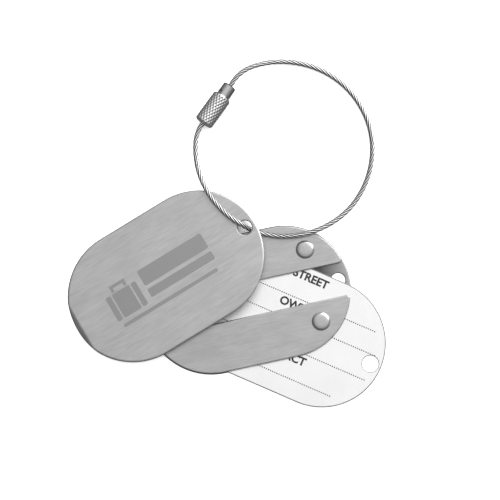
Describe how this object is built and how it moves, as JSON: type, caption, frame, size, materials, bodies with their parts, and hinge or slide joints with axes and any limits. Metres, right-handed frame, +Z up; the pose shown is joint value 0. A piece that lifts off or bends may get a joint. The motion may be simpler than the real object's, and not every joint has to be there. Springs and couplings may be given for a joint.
{
  "type": "luggage tag",
  "caption": "Two-plate steel luggage tag: a riveted card holder with its address card, a cover plate and a cable loop with a screw clasp.",
  "frame": {"origin": "centre of the holder's back plate, on its underside", "axes": "+X along the holder's long axis towards its hanging hole, +Z up through the card pocket, away from the surface it lies on"},
  "size_m": [0.1179, 0.124, 0.0069],
  "materials": {
    "plate_steel": "satin, brushed along the plate",
    "head_steel": "polished",
    "cable_steel": "bright stranded wire",
    "clasp_steel": "bright nickel plate, knurled",
    "card": "coated white card, printed"
  },
  "bodies": {
    "holder": {"back_plate": "plate_steel", "spring_frame": "plate_steel", "frame_spacer": "plate_steel", "frame_rivet_upper": "head_steel", "frame_rivet_lower": "head_steel", "clamp_stud_upper": "head_steel", "clamp_stud_lower": "head_steel"},
    "card": {"id_card": "card"},
    "loop": {"loop_cable": "cable_steel", "cable_stop": "clasp_steel"},
    "cover": {"cover_plate": "plate_steel"},
    "barrel": {"clasp_barrel": "clasp_steel"},
    "ferrule": {"end_ferrule": "clasp_steel"}
  },
  "joints": [
    {"name": "card_swing", "type": "hinge", "parent": "holder", "child": "card", "pos_m": [-0.01338, -0.02252, 0.00085], "axis": [0, 0, 1], "range_deg": [-6, 35.7]},
    {"name": "loop_shift", "type": "slide", "parent": "holder", "child": "loop", "axis": [0.7489, -0.6571, 0.0854], "range_m": [0, 0.03759]},
    {"name": "cover_swing", "type": "hinge", "parent": "loop", "child": "cover", "pos_m": [0.00425, 0.0247, 0.0043], "axis": [0.0642, -0.0563, -0.9963], "range_deg": [-180, 18.9]},
    {"name": "barrel_turn", "type": "hinge", "parent": "loop", "child": "barrel", "pos_m": [-0.0022, 0.0641, 0.00345], "axis": [0.742, 0.6704, 0], "range_deg": [-2880, 0]},
    {"name": "ferrule_draw", "type": "slide", "parent": "loop", "child": "ferrule", "axis": [-0.742, -0.6704, 0], "range_m": [-0.004, 0]}
  ],
  "couplings": [
    {"joint": "barrel_turn", "follows": "ferrule_draw", "rad_per_m": 12566}
  ]
}
